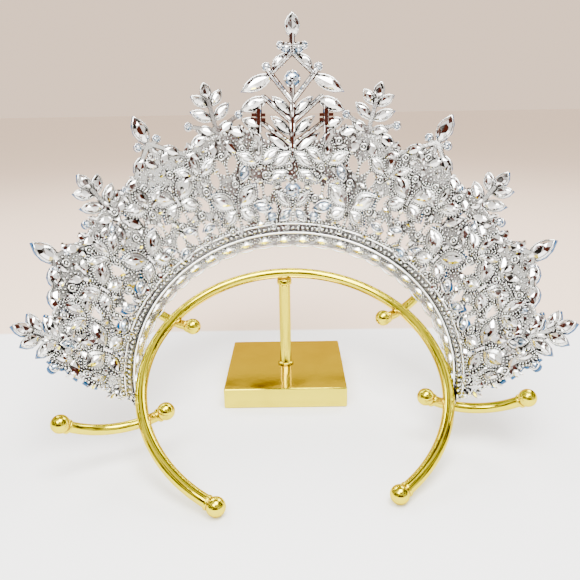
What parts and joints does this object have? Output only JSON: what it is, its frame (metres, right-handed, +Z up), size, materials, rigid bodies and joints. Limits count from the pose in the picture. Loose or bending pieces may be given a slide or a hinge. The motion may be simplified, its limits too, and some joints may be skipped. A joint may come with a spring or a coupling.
{
  "type": "bridal crown on a display stand",
  "caption": "Tall openwork bridal crown with marquise stones, resting on a gilt display stand with a square base, a post and an open hoop with curved rods.",
  "frame": {"origin": "centre of the base plate's underside, where it stands on the table", "axes": "+Z up, +Y towards the crown's front, +X to the right when seen from the open back"},
  "size_m": [0.2204, 0.1441, 0.1838],
  "materials": {
    "silver": "bright silver plate on cast alloy",
    "gilt": "polished gold plate on steel",
    "crystal": "clear cut glass with a faint blue coating"
  },
  "bodies": {
    "root": {"base_plate": "gilt", "crown_frame": "silver", "hoop": "gilt", "lower_arm_left": "gilt", "lower_arm_right": "gilt", "post": "gilt", "stone_butterfly_1_left_wing_left": "crystal", "stone_butterfly_1_left_wing_right": "crystal", "stone_butterfly_1_right_wing_left": "crystal", "stone_butterfly_1_right_wing_right": "crystal", "stone_butterfly_2_left_wing_left": "crystal", "stone_butterfly_2_left_wing_right": "crystal", "stone_butterfly_2_right_wing_left": "crystal", "stone_butterfly_2_right_wing_right": "crystal", "stone_butterfly_3_left_wing_left": "crystal", "stone_butterfly_3_left_wing_right": "crystal", "stone_butterfly_3_right_wing_left": "crystal", "stone_butterfly_3_right_wing_right": "crystal", "stone_butterfly_4_left_wing_left": "crystal", "stone_butterfly_4_left_wing_right": "crystal", "stone_butterfly_4_right_wing_left": "crystal", "stone_butterfly_4_right_wing_right": "crystal", "stone_butterfly_5_left_wing_left": "crystal", "stone_butterfly_5_left_wing_right": "crystal", "stone_butterfly_5_right_wing_left": "crystal", "stone_butterfly_5_right_wing_right": "crystal", "stone_crest_1_left_tip": "crystal", "stone_crest_1_right_tip": "crystal", "stone_crest_2_left_tip": "crystal", "stone_crest_2_right_tip": "crystal", "stone_fern_1_left_tip": "crystal", "stone_fern_1_right_tip": "crystal", "stone_fern_2_left_tip": "crystal", "stone_fern_2_right_tip": "crystal", "stone_fern_3_left_tip": "crystal", "stone_fern_3_right_tip": "crystal", "stone_peak_foot_left": "crystal", "stone_peak_foot_right": "crystal", "stone_peak_lower_left": "crystal", "stone_peak_lower_right": "crystal", "stone_peak_middle_left": "crystal", "stone_peak_middle_right": "crystal", "stone_peak_round": "crystal", "stone_peak_top": "crystal", "stone_peak_upper_left": "crystal", "stone_peak_upper_right": "crystal", "upper_arm_left": "gilt", "upper_arm_right": "gilt"}
  },
  "joints": []
}
